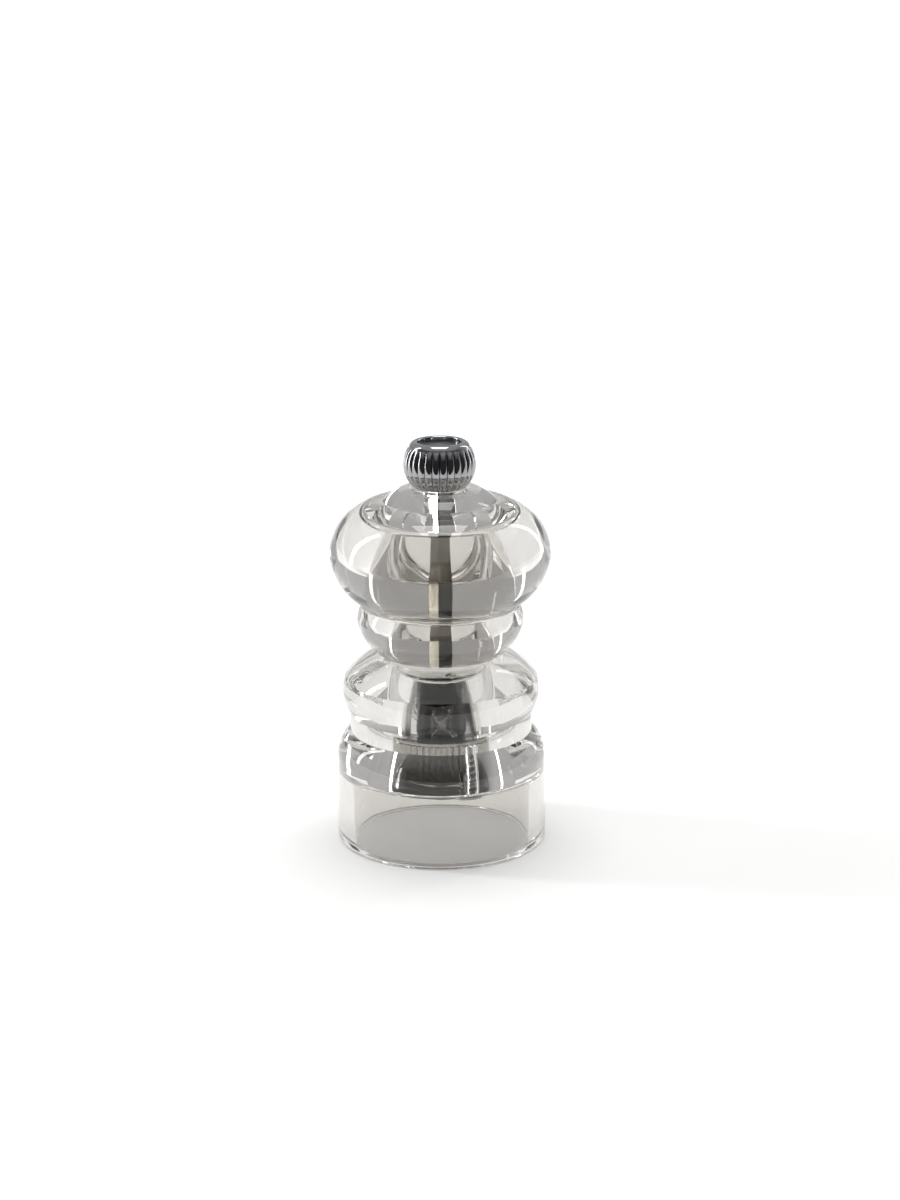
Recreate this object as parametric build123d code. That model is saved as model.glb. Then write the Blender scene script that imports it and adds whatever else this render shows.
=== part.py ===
from build123d import *
import math
import os

os.makedirs("parts", exist_ok=True)

# All sizes are in millimetres, heights are above the table
overall_height = 90.0

# Outside of the body, from the skirt up to the seam under the head
base_radius = 23.3
base_edge = 0.8
skirt_top_radius = 22.9
skirt_top = 18.2
neck_radius = 20.1
neck_low = 25.2
neck_high = 29.3
ring_edge_radius = 21.25
ring_edge = 37.2
waist_radius = 14.0
waist_height = 43.1
collar_radius = 18.35
collar_height = 50.4
seam_radius = 17.5
seam = 53.8
seam_gap = 0.15
seam_round = 0.4

# Hollows of the body
skirt_bore = 19.4
skirt_round = 1.2
skirt_chamfer = 0.6
floor_underside = 16.0
seat_bore = 10.8
seat_top = 26.3
throat_bore = 8.6
throat_top = 27.5
chamber_bore = 11.5
bowl_top = 37.0
mouth_chamfer = 0.4
spigot_radius = 15.7
spigot_top = 57.0
spigot_round = 0.3

# Head
head_radius = 24.2
head_belly = 64.9
crown_edge_radius = 12.4
crown_edge = 77.0
crown_radius = 9.0
crown = 79.3
boss_radius = 6.2
boss_low = 79.5
head_top = 79.9
head_bore = 16.0
head_bore_round = 1.0
ceiling = 72.4

# Knob
knob_bottom = 80.0
knob_side_radius = 7.0
knob_side_centre_r = 0.89
knob_side_centre_z = 85.0
knob_heel = 80.3
knob_shoulder = 89.0
knob_rim_radius = 5.6
knob_ribs = 28
groove_radius = 0.42
recess_radius = 4.8
recess_round = 0.3
inlay_radius = 4.75
inlay_low = 88.4
inlay_thickness = 0.6

# Square shaft with a thread for the knob and a stud for the rotor's nut
shaft_side = 3.7
shaft_corner = 0.3
shaft_angle = 40.0
shaft_shoulder = 18.0
shaft_square_top = 79.5
thread_radius = 1.75
thread_top = 86.2
thread_hole_top = 87.5
stud_radius = 1.5
stud_low = 13.0
running_gap = 0.05

# Bracket over the rotor, with its bush
strap_thickness = 0.8
strap_width = 4.5
strap_reach = 7.9
strap_bend = 0.4
strap_angle = 25.0
foot_reach = 10.2
eye_radius = 5.2
bridge_low = 36.0
bush_radius = 3.4
bush_round = 0.4
bush_top = 39.5
flange_radius = 4.2
washer_thickness = 0.4
washer_radius = 3.8
washer_bore = 2.75

# Rotor: a toothed cone under a fluted breaker
rotor_low = 16.6
rotor_low_radius = 7.9
rotor_waist = 23.0
rotor_waist_radius = 6.4
rotor_teeth = 30
tooth_depth = 0.65
tooth_twist = 10.0
pinch_radius = 4.8
pinch_height = 25.0
bulb_radius = 5.6
bulb_height = 28.0
rotor_top_radius = 4.4
rotor_top = 30.4
flutes = 8
flute_radius = 1.3
flute_centre = 6.3
flute_lean = 14.0
flute_length = 14.0
spring_pocket = 3.6

# Stator ring round the rotor
stator_radius = 10.3
stator_top = 25.5
stator_mouth_radius = 9.2
stator_mouth_low = 22.4
stator_ribs = 54
rib_radius = 10.72
rib_low = 19.5
rib_high = 24.8
grind_gap = 0.4

# Fixings under the floor of the body
plate_thickness = 1.0
plate_radius = 11.6
plate_bore = 8.6
ear_width = 6.4
screw_circle = 13.5
screw_angle = -65.0
screw_radius = 1.18
screw_shank_top = 21.2
screw_point = 22.4
screw_hole_top = 25.5
screw_hole_gap = 0.04
plate_hole_gap = 0.15
pan_radius = 2.6
pan_height = 1.5
slot_width = 0.6
slot_length = 2.8
slot_depth = 0.8
nut_across_flats = 5.5
nut_height = 2.4
rotor_washer_radius = 3.6

# Spring between the rotor's pocket and the thrust washer
spring_wire = 0.5
spring_radius = 3.1
spring_turns = 6.5
spring_low = 27.5
spring_high = 34.8
spring_lead = spring_wire / 2 + 0.04

# Bulge of a quarter circle
quarter = math.sqrt(2) - 1


def bow(start, end, bulge):
    # arc in the XZ plane that swells to the right of its travel by bulge times half its chord
    middle_r = (start[0] + end[0] + bulge * (end[1] - start[1])) / 2
    middle_z = (start[1] + end[1] - bulge * (end[0] - start[0])) / 2
    return ThreePointArc((start[0], 0, start[1]), (middle_r, 0, middle_z), (end[0], 0, end[1]))


def turned(*corners):
    # solid of revolution from (radius, height) corners, where a third value bows the edge that leads there
    edges = []
    for i, corner in enumerate(corners):
        start = corners[i - 1]
        if len(corner) == 3:
            edges.append(bow(start, corner, corner[2]))
        else:
            edges.append(Line((start[0], 0, start[1]), (corner[0], 0, corner[1])))
    return revolve(Face(Wire(edges)), Axis.Z, 360)


def cylinder(radius, low, high):
    return Pos(0, 0, low) * Cylinder(radius, high - low, align=(Align.CENTER, Align.CENTER, Align.MIN))


def block(length, width, low, high):
    return Pos(0, 0, low) * Box(length, width, high - low, align=(Align.CENTER, Align.CENTER, Align.MIN))


def square_bar(side, low, high):
    # upright bar with rounded corners, in line with the shaft
    bar = block(side, side, low, high)
    bar = fillet(bar.edges().filter_by(Axis.Z), shaft_corner)
    return Rot(0, 0, shaft_angle) * bar


def square_hole(low, high):
    return square_bar(shaft_side + 2 * running_gap, low, high)


def stud_hole(low, high):
    return cylinder(stud_radius + running_gap, low, high)


def star(teeth, tip, root, height, turn=0.0):
    # flat toothed face at one height
    points = []
    for i in range(2 * teeth):
        radius = root if i % 2 else tip
        angle = math.radians(turn + 180 * i / teeth)
        points.append((radius * math.cos(angle), radius * math.sin(angle)))
    return Pos(0, 0, height) * make_face(Polyline(*points, close=True))


def at_screws(shape):
    # the shape at both screw places
    return [Rot(0, 0, screw_angle + turn) * Pos(screw_circle, 0, 0) * shape for turn in (0, 180)]


def rotor_radius(height):
    # radius over the tooth tips of the rotor's cone
    share = (height - rotor_low) / (rotor_waist - rotor_low)
    return rotor_low_radius + share * (rotor_waist_radius - rotor_low_radius)


def make_body():
    body = turned(
        (skirt_bore + skirt_chamfer, 0),
        (base_radius - base_edge, 0),
        (base_radius, base_edge, quarter),
        (skirt_top_radius, skirt_top),
        (neck_radius, neck_low, 0.26),
        (neck_radius, neck_high),
        (ring_edge_radius, ring_edge, 0.24),
        (waist_radius, waist_height, 0.14),
        (collar_radius, collar_height, 0.2),
        (seam_radius, seam - seam_round, 0.1),
        (seam_radius - seam_round, seam, quarter),
        (spigot_radius, seam),
        (spigot_radius, spigot_top - spigot_round),
        (spigot_radius - spigot_round, spigot_top, quarter),
        (chamber_bore + mouth_chamfer, spigot_top),
        (chamber_bore, spigot_top - mouth_chamfer),
        (chamber_bore, bowl_top),
        (throat_bore, throat_top, -0.15),
        (throat_bore, seat_top),
        (seat_bore, seat_top),
        (seat_bore, floor_underside),
        (skirt_bore - skirt_round, floor_underside),
        (skirt_bore, floor_underside - skirt_round, -quarter),
        (skirt_bore, skirt_chamfer),
    )
    return body - at_screws(cylinder(screw_radius + screw_hole_gap, floor_underside, screw_hole_top))


def make_head():
    lip = seam + seam_gap
    head = turned(
        (head_bore, lip),
        (seam_radius - seam_round, lip),
        (seam_radius, lip + seam_round, quarter),
        (head_radius, head_belly, 0.24),
        (crown_edge_radius, crown_edge, 0.4),
        (crown_radius, crown, 0.1),
        (boss_radius + head_top - boss_low, boss_low),
        (boss_radius, head_top),
        (0, head_top),
        (0, ceiling),
        (head_bore - head_bore_round, ceiling),
        (head_bore, ceiling - head_bore_round, -quarter),
    )
    return head - square_hole(ceiling, head_top)


def knob_side(height):
    # radius of the knob's side, an arc round a ring-shaped centre line
    return knob_side_centre_r + math.sqrt(knob_side_radius ** 2 - (height - knob_side_centre_z) ** 2)


def knob_groove():
    # round groove along the knob's side, from under its heel to just under its shoulder
    low_angle = -46.0
    high_angle = 36.0
    centre_lift = 0.12
    centre = Vector(knob_side_centre_r, 0, knob_side_centre_z)
    outward = Vector(math.cos(math.radians(low_angle)), 0, math.sin(math.radians(low_angle)))
    upward = Vector(-outward.Z, 0, outward.X)
    section = Plane(centre + outward * (knob_side_radius + centre_lift), x_dir=outward, z_dir=upward)
    return revolve(section * Circle(groove_radius), Axis(centre, (0, -1, 0)), high_angle - low_angle)


def make_knob():
    heel_radius = knob_side(knob_heel)
    shoulder_radius = knob_side(knob_shoulder)
    half_chord = math.hypot(shoulder_radius - heel_radius, knob_shoulder - knob_heel) / 2
    side_bulge = (knob_side_radius - math.sqrt(knob_side_radius ** 2 - half_chord ** 2)) / half_chord
    knob = turned(
        (0, knob_bottom),
        (heel_radius - (knob_heel - knob_bottom), knob_bottom),
        (heel_radius, knob_heel, 0.3),
        (shoulder_radius, knob_shoulder, side_bulge),
        (knob_rim_radius, overall_height, 0.25),
        (recess_radius + recess_round, overall_height),
        (recess_radius, overall_height - recess_round, 0.3),
        (recess_radius, inlay_low),
        (0, inlay_low),
    )
    thread_hole = cylinder(thread_radius + running_gap, knob_bottom, thread_hole_top)
    groove = knob_groove()
    return knob - thread_hole - [Rot(0, 0, 360 * i / knob_ribs) * groove for i in range(knob_ribs)]


def make_knob_inlay():
    return cylinder(inlay_radius, inlay_low, inlay_low + inlay_thickness)


def make_shaft():
    point = 0.5
    thread = turned(
        (0, shaft_square_top),
        (thread_radius, shaft_square_top),
        (thread_radius, thread_top - point),
        (thread_radius - point, thread_top),
        (0, thread_top),
    )
    stud = turned(
        (0, stud_low),
        (stud_radius - point, stud_low),
        (stud_radius, stud_low + point),
        (stud_radius, shaft_shoulder),
        (0, shaft_shoulder),
    )
    return square_bar(shaft_side, shaft_shoulder, shaft_square_top) + thread + stud


def make_shaft_bush():
    low = spring_high + washer_thickness
    flange_top = bridge_low - running_gap
    bush = turned(
        (0, low),
        (flange_radius, low),
        (flange_radius, flange_top),
        (bush_radius, flange_top),
        (bush_radius, bush_top - bush_round),
        (bush_radius - bush_round, bush_top, quarter),
        (0, bush_top),
    )
    return bush - square_hole(low, bush_top)


def make_thrust_washer():
    high = spring_high + washer_thickness
    return cylinder(washer_radius, spring_high, high) - cylinder(washer_bore, spring_high, high)


def bends(strap, reach, height):
    # the edges across the strap at one reach and height, on both sides
    found = ShapeList()
    for edge in strap.edges().filter_by(Axis.Y):
        middle = edge.center()
        if math.isclose(abs(middle.X), reach, abs_tol=0.01) and math.isclose(middle.Z, height, abs_tol=0.01):
            found.append(edge)
    return found


def make_bracket():
    # U-shaped strap with an eye for the bush, and feet turned outward under the body's step
    bridge_top = bridge_low + strap_thickness
    foot_top = stator_top + strap_thickness
    inside_reach = strap_reach - strap_thickness
    leg = block(strap_thickness, strap_width, stator_top, bridge_top)
    foot = block(foot_reach - inside_reach, strap_width, stator_top, foot_top)
    strap = block(2 * strap_reach, strap_width, bridge_low, bridge_top)
    for side in (-1, 1):
        strap += Pos(side * (strap_reach + inside_reach) / 2, 0, 0) * leg
        strap += Pos(side * (foot_reach + inside_reach) / 2, 0, 0) * foot
    outer_bends = bends(strap, strap_reach, bridge_top) + bends(strap, inside_reach, stator_top)
    strap = fillet(outer_bends, strap_bend + strap_thickness)
    inner_bends = bends(strap, inside_reach, bridge_low) + bends(strap, strap_reach, foot_top)
    strap = fillet(inner_bends, strap_bend)
    eye = cylinder(eye_radius, bridge_low, bridge_top)
    hole = cylinder(bush_radius + running_gap, bridge_low, bridge_top)
    return Rot(0, 0, strap_angle) * (strap + eye - hole)


def make_rotor():
    low_face = star(rotor_teeth, rotor_low_radius, rotor_low_radius - tooth_depth, rotor_low)
    waist_root = rotor_waist_radius - tooth_depth
    waist_face = star(rotor_teeth, rotor_waist_radius, waist_root, rotor_waist, tooth_twist)
    cone = loft([low_face, waist_face], ruled=True)
    breaker = turned(
        (0, rotor_waist),
        (waist_root, rotor_waist),
        (pinch_radius, pinch_height, -0.2),
        (bulb_radius, bulb_height, 0.12),
        (rotor_top_radius, rotor_top, 0.2),
        (0, rotor_top),
    )
    flute_place = Pos(flute_centre, 0, (rotor_waist + rotor_top) / 2) * Rot(flute_lean, 0, 0)
    flute = flute_place * Cylinder(flute_radius, flute_length)
    breaker -= [Rot(0, 0, 360 * i / flutes) * flute for i in range(flutes)]
    rotor = cone + breaker - cylinder(spring_pocket, spring_low, rotor_top)
    return rotor - square_hole(shaft_shoulder, spring_low) - stud_hole(rotor_low, shaft_shoulder)


def make_stator():
    ring = cylinder(stator_radius, floor_underside, stator_top)
    ring += extrude(star(stator_ribs, rib_radius, stator_radius, rib_low), rib_high - rib_low)
    low = floor_underside - 1
    high = rotor_waist + 1
    low_tip = rotor_radius(low) + grind_gap
    high_tip = rotor_radius(high) + grind_gap
    low_face = star(rotor_teeth, low_tip + tooth_depth, low_tip, low)
    high_face = star(rotor_teeth, high_tip + tooth_depth, high_tip, high, -tooth_twist)
    mouth = turned(
        (0, stator_mouth_low),
        (rotor_radius(stator_mouth_low) + grind_gap, stator_mouth_low),
        (stator_mouth_radius, stator_top),
        (0, stator_top),
    )
    return ring - loft([low_face, high_face], ruled=True) - mouth


def make_rotor_washer():
    washer = cylinder(rotor_washer_radius, floor_underside, rotor_low)
    return washer - stud_hole(floor_underside, rotor_low)


def make_rotor_nut():
    low = floor_underside - nut_height
    outline = RegularPolygon(nut_across_flats / 2, 6, major_radius=False)
    return extrude(Pos(0, 0, low) * outline, nut_height) - stud_hole(low, floor_underside)


def make_fixing_plate():
    low = floor_underside - plate_thickness
    ears = Rot(0, 0, screw_angle) * SlotCenterToCenter(2 * screw_circle, ear_width)
    outline = Circle(plate_radius) + ears - Circle(plate_bore)
    plate = extrude(Pos(0, 0, low) * outline, plate_thickness)
    return plate - at_screws(cylinder(screw_radius + plate_hole_gap, low, floor_underside))


def make_fixing_screws():
    pan_top = floor_underside - plate_thickness
    pan_low = pan_top - pan_height
    pan_flat = 1.5
    pan_side = 0.6
    screw = turned(
        (0, pan_low),
        (pan_flat, pan_low),
        (pan_radius, pan_top - pan_side, 0.3),
        (pan_radius, pan_top),
        (screw_radius, pan_top),
        (screw_radius, screw_shank_top),
        (0, screw_point),
    )
    slot = block(slot_length, slot_width, pan_low, pan_low + slot_depth)
    return Compound(at_screws(screw - slot - Rot(0, 0, 90) * slot))


def spring_point(turn):
    # point of the wire's middle line after a number of turns
    angle = 2 * math.pi * turn
    rise = (spring_high - spring_low - 2 * spring_lead) * turn / spring_turns
    height = spring_low + spring_lead + rise
    return Vector(spring_radius * math.cos(angle), spring_radius * math.sin(angle), height)


def spring_direction(turn):
    angle = 2 * math.pi * turn
    rise = (spring_high - spring_low - 2 * spring_lead) / spring_turns
    around = 2 * math.pi * spring_radius
    return Vector(-around * math.sin(angle), around * math.cos(angle), rise).normalized()


def quarter_turn(start, end):
    # two arcs that share a tangent, from one turn count to the next
    first, last = spring_point(start), spring_point(end)
    leave, arrive = spring_direction(start), spring_direction(end)
    span = last - first
    along = span.dot(leave + arrive)
    spread = 2 * (1 - leave.dot(arrive))
    reach = (math.sqrt(along ** 2 + spread * span.dot(span)) - along) / spread
    near_handle = first + leave * reach
    far_handle = last - arrive * reach
    joint = (near_handle + far_handle) * 0.5
    return [
        TangentArc(first, joint, tangent=leave),
        TangentArc(joint, last, tangent=far_handle - near_handle),
    ]


def least_spring_gap():
    # least clear space between turns, on points along the wire's middle line
    steps = 48
    points = [spring_point(i / steps) for i in range(int(spring_turns * steps) + 1)]
    half_turn = steps // 2
    gaps = [(a - b).length for i, a in enumerate(points) for b in points[i + half_turn:]]
    return min(gaps) - spring_wire


def make_spring():
    # one unbroken wire with a short straight end on each side
    start, end = spring_point(0), spring_point(spring_turns)
    foot = start - spring_direction(0) * spring_wire
    edges = [Line(foot, start)]
    for i in range(int(spring_turns * 4)):
        edges += quarter_turn(i / 4, (i + 1) / 4)
    edges.append(Line(end, end + spring_direction(spring_turns) * spring_wire))
    section = Plane(foot, z_dir=spring_direction(0)) * Circle(spring_wire / 2)
    print("least gap between the spring's turns:", round(least_spring_gap(), 3), "mm")
    return sweep(section, path=Wire(edges))


pieces = {
    "body": make_body,
    "head": make_head,
    "knob": make_knob,
    "knob_inlay": make_knob_inlay,
    "shaft": make_shaft,
    "shaft_bush": make_shaft_bush,
    "thrust_washer": make_thrust_washer,
    "bracket": make_bracket,
    "rotor": make_rotor,
    "rotor_washer": make_rotor_washer,
    "rotor_nut": make_rotor_nut,
    "stator": make_stator,
    "fixing_plate": make_fixing_plate,
    "fixing_screws": make_fixing_screws,
    "spring": make_spring,
}
for name, make in pieces.items():
    piece = make()
    export_step(piece, f"parts/{name}.step")
    print(name, round(piece.volume, 1), "mm3")
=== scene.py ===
import bmesh
import bpy
import math
from mathutils import Matrix, Vector


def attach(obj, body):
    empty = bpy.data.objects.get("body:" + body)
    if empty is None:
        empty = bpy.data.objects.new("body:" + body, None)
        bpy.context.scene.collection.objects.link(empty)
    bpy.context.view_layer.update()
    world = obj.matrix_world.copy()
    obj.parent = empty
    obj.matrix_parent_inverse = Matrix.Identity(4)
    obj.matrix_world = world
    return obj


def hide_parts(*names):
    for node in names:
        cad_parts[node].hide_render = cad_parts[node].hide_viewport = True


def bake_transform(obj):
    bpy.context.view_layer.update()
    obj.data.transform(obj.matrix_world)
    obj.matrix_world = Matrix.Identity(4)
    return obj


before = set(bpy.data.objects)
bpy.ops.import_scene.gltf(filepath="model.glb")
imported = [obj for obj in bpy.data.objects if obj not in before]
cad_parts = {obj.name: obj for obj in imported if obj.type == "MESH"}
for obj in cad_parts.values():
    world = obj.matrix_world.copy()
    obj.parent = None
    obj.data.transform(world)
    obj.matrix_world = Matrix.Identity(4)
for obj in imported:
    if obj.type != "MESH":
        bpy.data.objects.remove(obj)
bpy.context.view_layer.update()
scene = bpy.context.scene
mm = 0.001
quarter = math.sqrt(2) - 1  # bulge of a quarter circle
arcSteps = 20  # edges per radian of a bowed outline
overcut = 1  # mm that a cutter reaches past the face it opens


# small helpers for outlines, meshes and nodes
def linear(hexColour):
    parts = [int(hexColour[i:i + 2], 16) / 255 for i in (1, 3, 5)]
    return tuple(c / 12.92 if c <= 0.04045 else ((c + 0.055) / 1.055) ** 2.4 for c in parts) + (1,)


def addNode(tree, kind, inputs=None, **settings):
    node = tree.nodes.new(kind)
    for key, value in settings.items():
        setattr(node, key, value)
    for key, value in (inputs or {}).items():
        if isinstance(value, bpy.types.NodeSocket):
            tree.links.new(value, node.inputs[key])
        else:
            node.inputs[key].default_value = value
    return node


def startMaterial(name, **shader):
    material = bpy.data.materials.new(name)
    material.use_nodes = True
    tree = material.node_tree
    surface = tree.nodes["Principled BSDF"]
    for key, value in shader.items():
        surface.inputs[key.replace("_", " ")].default_value = value
    return material, tree, surface


def bowPoints(start, end, bulge):
    # points after start on an arc that swells to the right of its travel
    if not bulge:
        return [(end[0], end[1])]
    chord = Vector((end[0] - start[0], end[1] - start[1]))
    turn = 4 * math.atan(bulge)
    radius = chord.length / 2 / math.sin(turn / 2)
    middle = (Vector(start[:2]) + Vector(end[:2])) / 2
    right = Vector((chord.y, -chord.x)).normalized()
    centre = middle - right * radius * math.cos(turn / 2)
    steps = max(5, math.ceil(abs(turn) * arcSteps))
    spoke = Vector(start[:2]) - centre
    return [tuple(centre + Matrix.Rotation(turn * i / steps, 2) @ spoke) for i in range(1, steps + 1)]


def outline(corners):
    # closed outline, where a corner's third value bows the edge that leads there
    points = []
    for i, corner in enumerate(corners):
        points += bowPoints(corners[i - 1], corner, corner[2] if len(corner) == 3 else 0)
    return points


def smooth(mesh, sharpAngle):
    mesh.shade_smooth()
    mesh.set_sharp_from_angle(angle=math.radians(sharpAngle))


def newPiece(name, bm, sharpAngle=32):
    mesh = bpy.data.meshes.new(name)
    bmesh.ops.recalc_face_normals(bm, faces=bm.faces)
    bm.to_mesh(mesh)
    bm.free()
    smooth(mesh, sharpAngle)
    piece = bpy.data.objects.new(name, mesh)
    scene.collection.objects.link(piece)
    return piece


def lathe(name, points, around=192, ripple=None, sharpAngle=32):
    # turns a closed outline of (radius, height) in mm, ripple may change a radius by angle and point number
    bm = bmesh.new()
    columns = []
    tips = {j: bm.verts.new((0, 0, z * mm)) for j, (r, z) in enumerate(points) if r < 1e-6}
    for i in range(around):
        angle = 2 * math.pi * i / around
        column = []
        for j, (r, z) in enumerate(points):
            if j in tips:
                column.append(tips[j])
                continue
            r = r + (ripple(angle, j) if ripple else 0)
            column.append(bm.verts.new((r * mm * math.cos(angle), r * mm * math.sin(angle), z * mm)))
        columns.append(column)
    for i, column in enumerate(columns):
        following = columns[(i + 1) % around]
        for j in range(len(points)):
            k = (j + 1) % len(points)
            loop = []
            for vert in (column[j], following[j], following[k], column[k]):
                if vert not in loop:
                    loop.append(vert)
            if len(loop) > 2:
                bm.faces.new(loop)
    return newPiece(name, bm, sharpAngle)


def cutFrom(piece, cutters, sharpAngle=32):
    # cuts the cutters out for good and removes them
    for cutter in cutters:
        cut = piece.modifiers.new("cut", "BOOLEAN")
        cut.operation = "DIFFERENCE"
        cut.solver = "EXACT"
        cut.object = cutter
    bpy.context.view_layer.update()
    finished = bpy.data.meshes.new_from_object(piece.evaluated_get(bpy.context.evaluated_depsgraph_get()))
    piece.modifiers.clear()
    piece.data = finished
    for cutter in cutters:
        bpy.data.objects.remove(cutter)
    smooth(finished, sharpAngle)


def place(piece, material, body, slot, *nodes):
    # gives a finished piece its material and the body it moves with, and hides the nodes it stands for; the
    # slot is not used
    piece.data.materials.append(material)
    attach(piece, body)
    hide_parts(*nodes)


# acrylic: turned and polished, so clear and hard-edged, with faint wipe marks and a slight wave in the
# gloss; its grey tint is painted shade that darkens it in place of grey surroundings
acrylicLook = {
    "paintedShadeTint": "#E2E0DD", "ior": 1.49,
    "wipeWidth": 9, "wipeFrom": 0.5, "wipeTo": 0.8, "haze": 0.03,
    "waveWidth": 14, "wave": 0.22, "waveDepth": 1,
}


def polishedAcrylic(look):
    material, tree, surface = startMaterial("polishedAcrylic", Transmission_Weight=1.0, IOR=look["ior"])
    # painted shade: the grey tint dims all light through the acrylic, as grey surroundings would
    surface.inputs["Base Color"].default_value = linear(look["paintedShadeTint"])
    spot = addNode(tree, "ShaderNodeTexCoord").outputs["Object"]
    wipe = addNode(tree, "ShaderNodeTexNoise", {
        "Vector": spot, "Scale": 1 / (look["wipeWidth"] * mm), "Detail": 4.0})
    haze = addNode(tree, "ShaderNodeMapRange", {
        "Value": wipe.outputs["Fac"], "From Min": look["wipeFrom"], "From Max": look["wipeTo"],
        "To Max": look["haze"]})
    wave = addNode(tree, "ShaderNodeTexNoise", {
        "Vector": spot, "Scale": 1 / (look["waveWidth"] * mm), "Detail": 1.0})
    bump = addNode(tree, "ShaderNodeBump", {
        "Height": wave.outputs["Fac"], "Strength": look["wave"], "Distance": look["waveDepth"] * mm})
    tree.links.new(haze.outputs["Result"], surface.inputs["Roughness"])
    tree.links.new(bump.outputs["Normal"], surface.inputs["Normal"])
    return material


# metal grain: where the noise turns from dark to light, how far the gloss strays, the relief's depth in mm
grainLook = {"turn": (0.3, 0.7), "gloss": (0.75, 1.3), "depth": 0.05}


def workedMetal(name, dark, light, rough, grain, grainBump):
    # bare or plated metal with a grain in colour, gloss and relief, its size in mm along x, y and z
    # a real grain is finer than a pixel here, so each is drawn as coarse as it needs to show
    dull, bright = grainLook["turn"]
    material, tree, surface = startMaterial(name, Metallic=1.0)
    spot = addNode(tree, "ShaderNodeTexCoord").outputs["Object"]
    size = addNode(tree, "ShaderNodeMapping", {"Vector": spot, "Scale": [1 / (g * mm) for g in grain]})
    streak = addNode(tree, "ShaderNodeTexNoise", {
        "Vector": size.outputs["Vector"], "Scale": 1.0, "Detail": 5.0, "Roughness": 0.6})
    colour = addNode(tree, "ShaderNodeValToRGB", {"Fac": streak.outputs["Fac"]})
    for element, position, tone in zip(colour.color_ramp.elements, (dull, bright), (dark, light)):
        element.position = position
        element.color = linear(tone)
    gloss = addNode(tree, "ShaderNodeMapRange", {
        "Value": streak.outputs["Fac"], "From Min": dull, "From Max": bright,
        "To Min": rough * grainLook["gloss"][0], "To Max": rough * grainLook["gloss"][1]})
    bump = addNode(tree, "ShaderNodeBump", {
        "Height": streak.outputs["Fac"], "Strength": grainBump, "Distance": grainLook["depth"] * mm})
    tree.links.new(colour.outputs["Color"], surface.inputs["Base Color"])
    tree.links.new(gloss.outputs["Result"], surface.inputs["Roughness"])
    tree.links.new(bump.outputs["Normal"], surface.inputs["Normal"])
    return material


# black acetal: moulded, so dull with a fine grain, which is drawn coarser than it is so that it shows
acetalLook = {
    "tones": ("#17181A", "#2A2B2E"), "ior": 1.48, "gloss": (0.3, 0.5),
    "grain": 0.3, "relief": 0.1, "depth": 0.05,
}


def mouldedAcetal(look):
    material, tree, surface = startMaterial("mouldedAcetal", IOR=look["ior"])
    spot = addNode(tree, "ShaderNodeTexCoord").outputs["Object"]
    grain = addNode(tree, "ShaderNodeTexNoise", {
        "Vector": spot, "Scale": 1 / (look["grain"] * mm), "Detail": 3.0})
    colour = addNode(tree, "ShaderNodeValToRGB", {"Fac": grain.outputs["Fac"]})
    for element, tone in zip(colour.color_ramp.elements, look["tones"]):
        element.color = linear(tone)
    gloss = addNode(tree, "ShaderNodeMapRange", {
        "Value": grain.outputs["Fac"], "To Min": look["gloss"][0], "To Max": look["gloss"][1]})
    bump = addNode(tree, "ShaderNodeBump", {
        "Height": grain.outputs["Fac"], "Strength": look["relief"], "Distance": look["depth"] * mm})
    tree.links.new(colour.outputs["Color"], surface.inputs["Base Color"])
    tree.links.new(gloss.outputs["Result"], surface.inputs["Roughness"])
    tree.links.new(bump.outputs["Normal"], surface.inputs["Normal"])
    return material


acrylic = polishedAcrylic(acrylicLook)
acetal = mouldedAcetal(acetalLook)
# mirror-bright plating
platedZinc = workedMetal("platedZinc", "#9C9DA0", "#B2B3B5", 0.07, (1.2, 1.2, 1.2), 0.02)
# lapped flat, dull and lined
satinZinc = workedMetal("satinZinc", "#77787B", "#929396", 0.34, (5, 0.25, 5), 0.2)
# drawn bar, streaks along it
drawnSteel = workedMetal("drawnSteel", "#6E6B62", "#8B877E", 0.2, (0.3, 0.3, 12), 0.08)
# hardened, dark and glossy
hardSteel = workedMetal("hardSteel", "#3A3A3B", "#5E5E60", 0.09, (0.5, 0.5, 0.5), 0.05)
# pressed powder, pale
sinterSteel = workedMetal("sinterSteel", "#B0AFAB", "#CCCBC7", 0.18, (0.4, 0.4, 0.4), 0.08)
# rolled strip, bright
pressedSteel = workedMetal("pressedSteel", "#B4B5B7", "#CFD0D2", 0.2, (3, 0.3, 3), 0.1)
# drawn wire
springSteel = workedMetal("springSteel", "#7C7D80", "#A2A3A6", 0.25, (0.3, 0.3, 0.3), 0.1)
# fasteners, slightly milky
zincPlate = workedMetal("zincPlate", "#A4A6A9", "#C2C4C6", 0.28, (0.4, 0.4, 0.4), 0.12)
print("materials made")

# body: the lower turning, with its bores and two blind screw holes, in mm, a third value bows the edge
bodyShape = {
    "baseRadius": 23.3, "baseEdge": 0.8, "skirtTop": (22.9, 18.2), "neckLow": (20.1, 25.2, 0.26),
    "neckHigh": (20.1, 29.3), "ringEdge": (21.25, 37.2, 0.24), "waist": (14.0, 43.1, 0.14),
    "collar": (18.35, 50.4, 0.2), "seam": (17.5, 53.8), "seamRound": 0.4, "seamBow": 0.1,
    "spigot": (15.7, 57.0), "spigotRound": 0.3, "mouthChamfer": 0.4, "chamberBore": 11.5, "bowlTop": 43.0,
    "throat": (8.6, 35.5, -0.15), "seat": (10.8, 26.36), "floor": 16.06,  # a hair clear of bracket and plate
    "skirtBore": 19.4, "skirtRound": 1.2, "skirtChamfer": 0.6, "sharp": 12,
    "screwCircle": 13.5, "screwAngle": -65, "holeRadius": 1.22, "holeTop": 25.5, "holePoint": 0.6,
}


def screwSpots():
    for turn in (0, 180):
        angle = math.radians(bodyShape["screwAngle"] + turn)
        yield Vector((math.cos(angle), math.sin(angle), 0)) * bodyShape["screwCircle"] * mm


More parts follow.
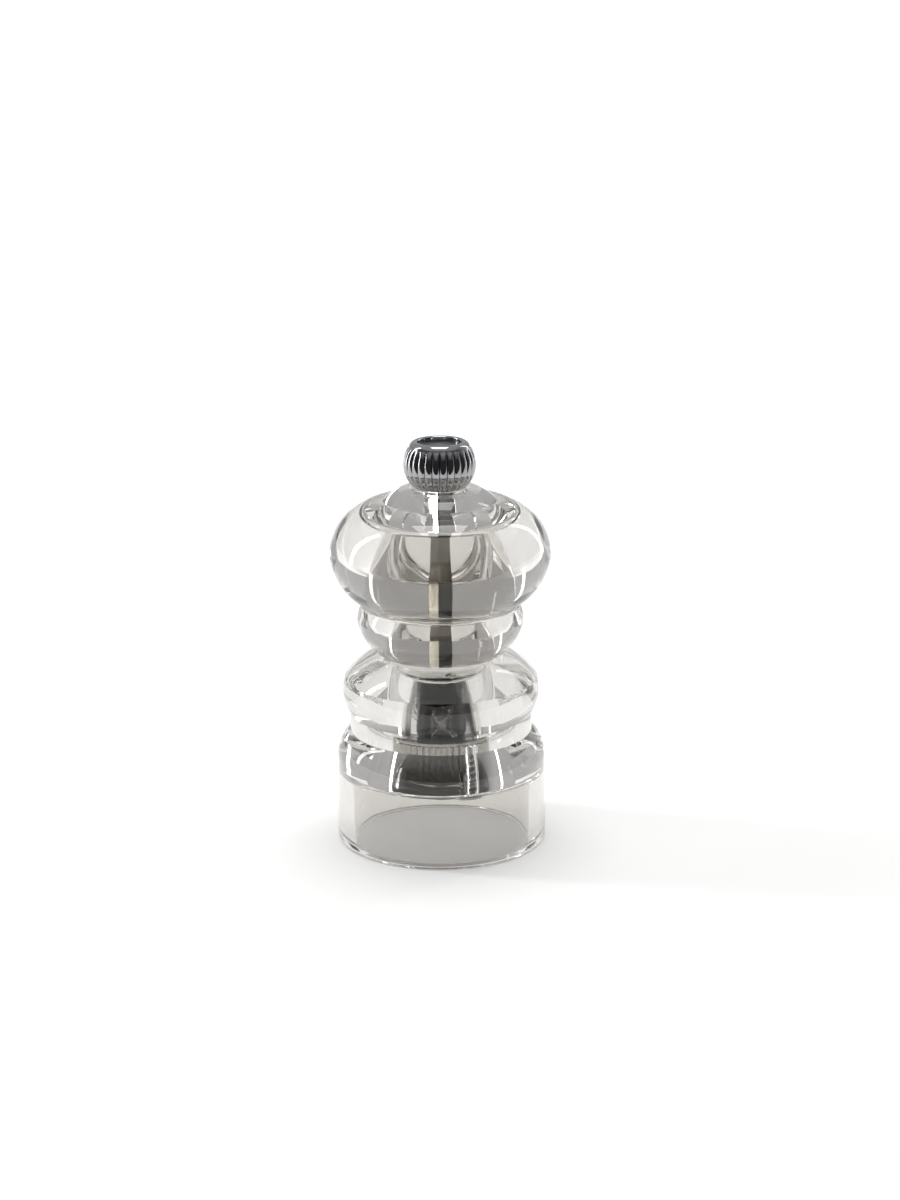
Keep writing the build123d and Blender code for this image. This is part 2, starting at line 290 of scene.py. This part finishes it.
def makeBody(s):
    seamRadius, seam = s["seam"]
    spigotRadius, spigotTop = s["spigot"]
    corners = [
        (s["skirtBore"] + s["skirtChamfer"], 0),
        (s["baseRadius"] - s["baseEdge"], 0),
        (s["baseRadius"], s["baseEdge"], quarter),
        s["skirtTop"],
        s["neckLow"],
        s["neckHigh"],
        s["ringEdge"],
        s["waist"],
        s["collar"],
        (seamRadius, seam - s["seamRound"], s["seamBow"]),
        (seamRadius - s["seamRound"], seam, quarter),
        (spigotRadius, seam),
        (spigotRadius, spigotTop - s["spigotRound"]),
        (spigotRadius - s["spigotRound"], spigotTop, quarter),
        (s["chamberBore"] + s["mouthChamfer"], spigotTop),
        (s["chamberBore"], spigotTop - s["mouthChamfer"]),
        (s["chamberBore"], s["bowlTop"]),
        s["throat"],
        (s["throat"][0], s["seat"][1]),
        s["seat"],
        (s["seat"][0], s["floor"]),
        (s["skirtBore"] - s["skirtRound"], s["floor"]),
        (s["skirtBore"], s["floor"] - s["skirtRound"], -quarter),
        (s["skirtBore"], s["skirtChamfer"]),
    ]
    body = lathe("acrylicBody", outline(corners), sharpAngle=s["sharp"])
    cutters = []
    for spot in screwSpots():
        low, high = s["floor"] - overcut, s["holeTop"]
        bore = [(0, low), (s["holeRadius"], low), (s["holeRadius"], high), (0, high + s["holePoint"])]
        cutter = lathe("holeCutter", bore, 32)
        cutter.location = spot
        cutters.append(cutter)
    cutFrom(body, cutters, s["sharp"])
    place(body, acrylic, "base", "clear_acrylic", "body")
    print("body turned and drilled")


makeBody(bodyShape)

# head: the upper turning, hollow from below, with a square hole for the shaft, in mm
headShape = {
    "lip": 53.95, "seamRadius": 17.5, "seamRound": 0.4, "belly": (24.2, 64.9, 0.24),
    "crownEdge": (12.4, 77.0, 0.4), "crown": (9.0, 79.3, 0.1), "bossLow": (6.6, 79.5), "boss": (6.2, 79.9),
    "bore": 16.0, "boreRound": 1.0, "ceiling": 72.4, "sharp": 12,
    "holeSide": 3.8, "holeCorner": 0.3, "shaftAngle": 40,
}


def squareBar(name, side, corner, low, high, angle, steps=5):
    # upright square bar with rounded corners
    flat = Vector((side / 2 - corner, side / 2 - corner))
    ring = []
    for quadrant in range(4):
        for step in range(steps + 1):
            turn = math.radians(90 * step / steps)
            spot = flat + Vector((math.cos(turn), math.sin(turn))) * corner
            ring.append(Matrix.Rotation(math.radians(90 * quadrant + angle), 2) @ spot)
    bm = bmesh.new()
    bottom = [bm.verts.new((p.x * mm, p.y * mm, low * mm)) for p in ring]
    top = [bm.verts.new((p.x * mm, p.y * mm, high * mm)) for p in ring]
    bm.faces.new(bottom)
    bm.faces.new(top)
    for i in range(len(ring)):
        k = (i + 1) % len(ring)
        bm.faces.new((bottom[i], bottom[k], top[k], top[i]))
    return newPiece(name, bm)


def makeHead(s):
    corners = [
        (s["bore"], s["lip"]),
        (s["seamRadius"] - s["seamRound"], s["lip"]),
        (s["seamRadius"], s["lip"] + s["seamRound"], quarter),
        s["belly"],
        s["crownEdge"],
        s["crown"],
        s["bossLow"],
        s["boss"],
        (0, s["boss"][1]),
        (0, s["ceiling"]),
        (s["bore"] - s["boreRound"], s["ceiling"]),
        (s["bore"], s["ceiling"] - s["boreRound"], -quarter),
    ]
    head = lathe("acrylicHead", outline(corners), sharpAngle=s["sharp"])
    low, high = s["ceiling"] - overcut, s["boss"][1] + overcut
    hole = squareBar("holeCutter", s["holeSide"], s["holeCorner"], low, high, s["shaftAngle"])
    cutFrom(head, [hole], s["sharp"])
    place(head, acrylic, "head", "clear_acrylic", "head")
    print("head turned and broached")


makeHead(headShape)

# knob: gadroon ribs round a barrel, with a smooth bevel, a rim and a recess in the top, in mm
knobShape = {
    "bottom": 80.0, "heel": 80.3, "heelInset": 0.3, "shoulder": 89.0, "top": 90.0,
    "sideRadius": 7.0, "sideCentre": (0.89, 85.0), "rim": 5.6, "rimBow": 0.25,
    "recess": 4.8, "recessRound": 0.3, "recessBow": 0.3, "recessFloor": 88.4,
    "ribs": 28, "ribDepth": 0.5, "ribRound": 0.96, "heelDepth": 0.4, "heelRun": 8, "shoulderRun": 7,
    "sideSteps": 30, "perRib": 16, "sharp": 50,
}


def makeKnob(s):
    centreRadius, centreHeight = s["sideCentre"]
    side = []
    for i in range(s["sideSteps"] + 1):
        z = s["heel"] + (s["shoulder"] - s["heel"]) * i / s["sideSteps"]
        side.append((centreRadius + math.sqrt(s["sideRadius"] ** 2 - (z - centreHeight) ** 2), z))
    top = outline([
        side[-1],
        (s["rim"], s["top"], s["rimBow"]),
        (s["recess"] + s["recessRound"], s["top"]),
        (s["recess"], s["top"] - s["recessRound"], s["recessBow"]),
        (s["recess"], s["recessFloor"]),
        (0, s["recessFloor"]),
    ])[1:]
    points = [(0, s["bottom"]), (side[0][0] - s["heelInset"], s["bottom"])] + side + top

    def rib(angle, j):
        share = (j - 2) / s["sideSteps"]
        if not 0 <= share <= 1:
            return 0
        heel = min(1, s["heelRun"] * share + s["heelDepth"])
        shoulder = min(1, s["shoulderRun"] * (1 - share))  # grooves run out under the bevel
        across = 2 * ((angle * s["ribs"] / (2 * math.pi)) % 1) - 1
        return s["ribDepth"] * (heel * shoulder) * (math.sqrt(1 - s["ribRound"] * across ** 2) - 1)

    knob = lathe("ribbedKnob", points, s["ribs"] * s["perRib"], rib, s["sharp"])
    place(knob, platedZinc, "adjuster", "plated_knob", "knob")
    print("knob ribbed")


makeKnob(knobShape)

# fixing screws: pan heads with a cross recess, and a coarse thread for plastic, in mm
screwShape = {
    "panRadius": 2.6, "panLow": 13.5, "panTop": 15.0, "panFlat": 1.5, "panSide": 0.6, "panBow": 0.3,
    "crest": 1.2, "root": 0.92, "pitch": 0.9, "crestShare": 0.32, "threadTop": 21.4, "point": 22.4,
    "slotWidth": 0.6, "slotLength": 2.8, "slotDepth": 0.8, "slotAngle": 20,
    "around": 28, "perTurn": 10, "sharp": 40,
}


def makeScrew(s, name, spot):
    pan = outline([
        (0, s["panLow"]),
        (s["panFlat"], s["panLow"]),
        (s["panRadius"], s["panTop"] - s["panSide"], s["panBow"]),
        (s["panRadius"], s["panTop"]),
    ])[1:]
    levels = [(r, z, 0) for r, z in pan] + [(s["root"], s["panTop"], 0)]
    rise = s["threadTop"] - s["panTop"]
    steps = round(rise / s["pitch"] * s["perTurn"])
    levels += [(s["root"], s["panTop"] + rise * i / steps, 1) for i in range(1, steps + 1)]
    bm = bmesh.new()
    rows = []
    for r, z, threaded in levels:
        row = []
        for i in range(s["around"]):
            phase = (z / s["pitch"] - i / s["around"]) % 1
            lift = max(0, 1 - abs(phase - 0.5) / s["crestShare"]) * (s["crest"] - s["root"]) * threaded
            angle = 2 * math.pi * i / s["around"]
            reach = (r + lift) * mm
            row.append(bm.verts.new((reach * math.cos(angle), reach * math.sin(angle), z * mm)))
        rows.append(row)
    tip = bm.verts.new((0, 0, s["point"] * mm))
    for i in range(s["around"]):
        k = (i + 1) % s["around"]
        for low, high in zip(rows, rows[1:]):
            bm.faces.new((low[i], low[k], high[k], high[i]))
        bm.faces.new((rows[-1][i], rows[-1][k], tip))
    bm.faces.new(rows[0])
    screw = newPiece(name, bm, s["sharp"])
    cutters = []
    for turn in (0, 90):
        bar = bmesh.new()
        size = Matrix.Diagonal((s["slotLength"], s["slotWidth"], 2 * s["slotDepth"], 1))
        aim = Matrix.Rotation(math.radians(s["slotAngle"] + turn), 4, "Z")
        bmesh.ops.create_cube(bar, size=mm, matrix=aim @ size)
        bmesh.ops.translate(bar, verts=bar.verts, vec=(0, 0, s["panLow"] * mm))
        cutters.append(newPiece("slotCutter", bar))
    cutFrom(screw, cutters, s["sharp"])
    screw.data.transform(Matrix.Translation(spot))
    place(screw, zincPlate, "base", "fastener_steel", "fixing_screws")


for number, spot in enumerate(screwSpots()):
    makeScrew(screwShape, "fixingScrew%d" % (number + 1), spot)
print("screws threaded")

# stator ribs: the press-in ribs run on below the modelled ones, in mm
ribShape = {
    "ribs": 54, "tip": 10.72, "root": 10.3, "inside": 10.2, "low": 17.3, "high": 19.5,
    "perRib": 4, "sharp": 20,
}


def makeStatorRibs(s):
    points = [(s["inside"], s["low"]), (s["tip"], s["low"]), (s["tip"], s["high"]), (s["inside"], s["high"])]

    def valley(angle, j):
        share = (angle * s["ribs"] / (2 * math.pi)) % 1
        return (s["root"] - s["tip"]) * (1 - abs(2 * share - 1)) if j in (1, 2) else 0

    ribs = lathe("statorRibs", points, s["ribs"] * s["perRib"], valley, s["sharp"])
    ribs.data.materials.append(sinterSteel)
    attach(ribs, "base")
    print("stator ribs drawn")


makeStatorRibs(ribShape)

# spring: one wire, wound from the rotor's pocket up to the thrust washer, in mm
springShape = {
    "wire": 0.5, "radius": 3.1, "turns": 6.5, "low": 27.5, "high": 34.8, "endGap": 0.04,
    "perTurn": 28, "around": 10,
}


def makeSpring(s):
    lead = s["wire"] / 2 + s["endGap"]
    count = round(s["turns"] * s["perTurn"])
    middle = []
    for i in range(count + 1):
        angle = 2 * math.pi * i / s["perTurn"]
        z = s["low"] + lead + (s["high"] - s["low"] - 2 * lead) * i / count
        middle.append(Vector((s["radius"] * math.cos(angle), s["radius"] * math.sin(angle), z)) * mm)
    bm = bmesh.new()
    rings = []
    for i, spot in enumerate(middle):
        along = (middle[min(i + 1, count)] - middle[max(i - 1, 0)]).normalized()
        out = Vector((spot.x, spot.y, 0)).normalized()
        up = along.cross(out)
        ring = []
        for j in range(s["around"]):
            angle = 2 * math.pi * j / s["around"]
            spoke = out * math.cos(angle) + up * math.sin(angle)
            ring.append(bm.verts.new(spot + spoke * s["wire"] / 2 * mm))
        rings.append(ring)
    for near, far in zip(rings, rings[1:]):
        for j in range(s["around"]):
            k = (j + 1) % s["around"]
            bm.faces.new((near[j], near[k], far[k], far[j]))
    bm.faces.new(rings[0])
    bm.faces.new(rings[-1])
    spring = newPiece("woundSpring", bm)
    spring.data.materials.append(springSteel)
    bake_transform(spring)
    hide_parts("spring")
    print("spring wound")


makeSpring(springShape)

# the other pieces keep their modelled shape and take a finish
finishes = {
    "knob_inlay": satinZinc, "shaft": drawnSteel, "shaft_bush": acetal, "thrust_washer": zincPlate,
    "bracket": pressedSteel, "rotor": hardSteel, "rotor_washer": zincPlate, "rotor_nut": zincPlate,
    "stator": sinterSteel, "fixing_plate": pressedSteel,
}
for nodeName, finish in finishes.items():
    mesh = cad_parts[nodeName].data
    mesh.materials.clear()
    mesh.materials.append(finish)
print("finishes on", len(finishes), "pieces")

# floor: wide pale paper in metres, lifted to white where it is seen, more so far back, its flecks in mm
floorLook = {
    "tones": ("#F4F4F3", "#F8F8F7"), "fleckWidth": 40, "rough": 0.7, "white": "#FFFFFF",
    "lift": 0.3, "farLift": 0.9, "liftFrom": 0.2, "liftTo": 0.9, "width": 9.0, "front": -0.19, "back": 5.0,
}


def makeFloor(s):
    bm = bmesh.new()
    corners = ((-1, "front"), (1, "front"), (1, "back"), (-1, "back"))
    bm.faces.new([bm.verts.new((side * s["width"] / 2, s[end], 0)) for side, end in corners])
    floor = newPiece("studioFloor", bm)
    material, tree, surface = startMaterial("mattPaper", Roughness=s["rough"])  # smooth, faintly cloudy
    spot = addNode(tree, "ShaderNodeTexCoord").outputs["Object"]
    fleck = addNode(tree, "ShaderNodeTexNoise", {
        "Vector": spot, "Scale": 1 / (s["fleckWidth"] * mm), "Detail": 3.0})
    colour = addNode(tree, "ShaderNodeValToRGB", {"Fac": fleck.outputs["Fac"]})
    for element, tone in zip(colour.color_ramp.elements, s["tones"]):
        element.color = linear(tone)
    tree.links.new(colour.outputs["Color"], surface.inputs["Base Color"])
    path = addNode(tree, "ShaderNodeLightPath")  # the lift to white is seen, and lights nothing
    mirrored = addNode(tree, "ShaderNodeMath", {
        0: path.outputs["Is Glossy Ray"], 1: path.outputs["Is Transmission Ray"]}, operation="MAXIMUM")
    seen = addNode(tree, "ShaderNodeMath", {
        0: path.outputs["Is Camera Ray"], 1: mirrored.outputs["Value"]}, operation="MAXIMUM")
    depth = addNode(tree, "ShaderNodeSeparateXYZ", {"Vector": spot})
    amount = addNode(tree, "ShaderNodeMapRange", {
        "Value": depth.outputs["Y"], "From Min": s["liftFrom"], "From Max": s["liftTo"],
        "To Min": s["lift"], "To Max": s["farLift"]}, interpolation_type="SMOOTHSTEP")
    lift = addNode(tree, "ShaderNodeMath", {
        0: seen.outputs["Value"], 1: amount.outputs["Result"]}, operation="MULTIPLY")
    surface.inputs["Emission Color"].default_value = linear(s["white"])
    tree.links.new(lift.outputs["Value"], surface.inputs["Emission Strength"])
    floor.data.materials.append(material)


# room: pale far end and ceiling, and a dark end behind the camera, by the way a ray looks
roomLook = {
    "white": "#FFFFFF", "darkEnd": 0.04, "farEnd": 0.5, "darkTo": -0.3, "farFrom": 0.4,
    "ceiling": 0.5, "ceilingFrom": 0.35, "ceilingTo": 0.8, "throughAcrylic": 0.1,
}


def makeRoom(s):
    world = bpy.data.worlds.new("room")
    scene.world = world
    world.use_nodes = True
    tree = world.node_tree
    way = addNode(tree, "ShaderNodeTexCoord").outputs["Generated"]
    axis = addNode(tree, "ShaderNodeSeparateXYZ", {"Vector": way})
    ends = addNode(tree, "ShaderNodeMapRange", {
        "Value": axis.outputs["Y"], "From Min": s["darkTo"], "From Max": s["farFrom"],
        "To Min": s["darkEnd"], "To Max": s["farEnd"]})
    ceiling = addNode(tree, "ShaderNodeMapRange", {
        "Value": axis.outputs["Z"], "From Min": s["ceilingFrom"], "From Max": s["ceilingTo"],
        "To Max": s["ceiling"]})
    path = addNode(tree, "ShaderNodeLightPath")
    pale = addNode(tree, "ShaderNodeMath", {
        0: path.outputs["Is Transmission Ray"], 1: s["throughAcrylic"]}, operation="MULTIPLY")
    level = ends.outputs["Result"]
    for other in (ceiling.outputs["Result"], pale.outputs["Value"], path.outputs["Is Camera Ray"]):
        level = addNode(tree, "ShaderNodeMath", {0: level, 1: other}, operation="MAXIMUM").outputs["Value"]
    background = tree.nodes["Background"]
    background.inputs["Color"].default_value = linear(s["white"])
    tree.links.new(level, background.inputs["Strength"])


# lamps: two thin strips at the rear sides for long edge lights, and a soft box above, in metres and watts
lamps = {
    "leftStrip": {"spot": (-0.62, 0.14, 0.3), "size": (0.07, 0.7), "watts": 1.7},
    "rightStrip": {"spot": (0.52, 0.45, 0.3), "size": (0.07, 0.7), "watts": 0.6},
    "topBox": {"spot": (0.0, 0.1, 0.9), "size": (0.4, 0.4), "watts": 2.6},
}


lampAim = Vector((0, 0, 0.05))


def makeLamps(setups):
    for name, setup in setups.items():
        light = bpy.data.lights.new(name, "AREA")
        light.shape = "RECTANGLE"
        light.size, light.size_y = setup["size"]
        light.energy = setup["watts"]
        lamp = bpy.data.objects.new(name, light)
        scene.collection.objects.link(lamp)
        lamp.location = setup["spot"]
        lamp.rotation_euler = (lampAim - lamp.location).to_track_quat("-Z", "Y").to_euler()


makeFloor(floorLook)
makeRoom(roomLook)
makeLamps(lamps)
print("studio lit")

# camera: where the photograph was taken from, in metres, degrees and pixels
view = {
    "back": 0.555, "height": 0.213, "pitch": 15.955, "roll": 0.35,
    "focal": 2630, "frame": (900, 1200), "axisAt": 440.4, "sensor": 36,
}


def makeCamera(v):
    data = bpy.data.cameras.new("camera")
    data.sensor_width = v["sensor"]
    data.lens = v["focal"] / v["frame"][1] * v["sensor"]
    data.shift_x = (v["frame"][0] / 2 - v["axisAt"]) / v["frame"][1]
    camera = bpy.data.objects.new("camera", data)
    scene.collection.objects.link(camera)
    camera.location = (0, -v["back"], v["height"])
    tilt = Matrix.Rotation(math.radians(90 - v["pitch"]), 4, "X")
    camera.rotation_euler = (tilt @ Matrix.Rotation(math.radians(-v["roll"]), 4, "Z")).to_euler()
    scene.camera = camera


makeCamera(view)
scene.view_settings.view_transform = "Standard"
scene.cycles.max_bounces = 32  # light crosses many faces of clear acrylic
scene.cycles.transmission_bounces = 32
scene.cycles.glossy_bounces = 12
print("camera placed")
